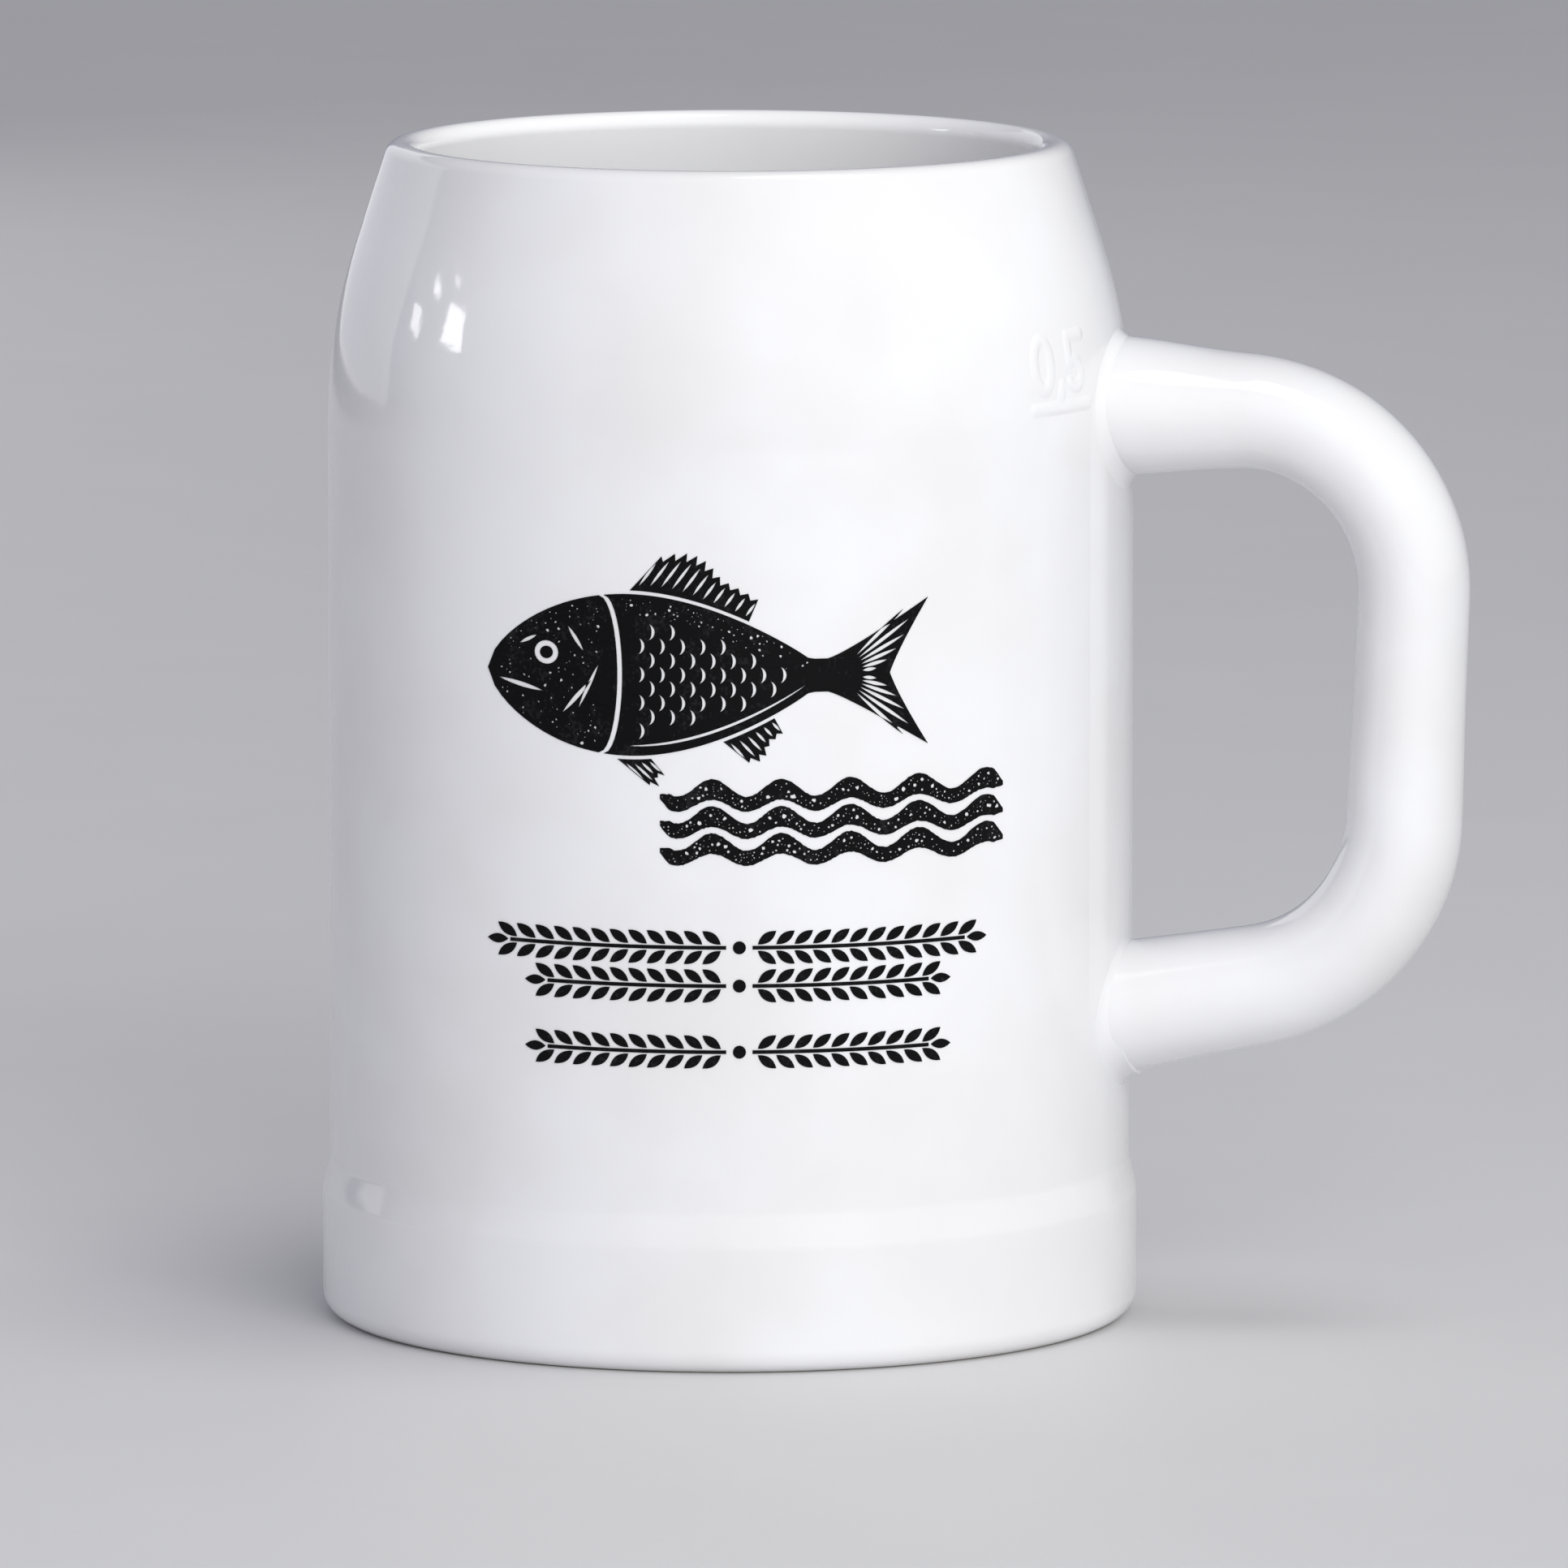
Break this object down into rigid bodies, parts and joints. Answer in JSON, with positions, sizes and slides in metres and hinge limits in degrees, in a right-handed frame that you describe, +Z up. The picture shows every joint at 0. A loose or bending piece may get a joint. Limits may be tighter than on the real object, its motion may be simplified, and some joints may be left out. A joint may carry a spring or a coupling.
{
  "type": "beer stein",
  "caption": "Open ceramic half-litre beer stein: turned vessel with sloping shoulder and foot band, D-shaped handle on a backing strap, black printed decoration.",
  "frame": {"origin": "centre of the foot, on the plane that the stein stands on", "axes": "+Z up along the vessel's axis, +X towards the handle, -Y towards the printed side"},
  "size_m": [0.1341, 0.095, 0.137],
  "materials": {
    "glazed_ceramic": "glossy cool-white glaze",
    "black_decal_ink": "fired-on black decal, satin"
  },
  "bodies": {
    "root": {"body": "glazed_ceramic", "handle_strap": "glazed_ceramic", "handle": "glazed_ceramic", "slip_seam_upper": "glazed_ceramic", "slip_seam_lower": "glazed_ceramic", "print_motif": "black_decal_ink", "print_banner": "black_decal_ink", "print_garlands": "black_decal_ink"}
  },
  "joints": []
}
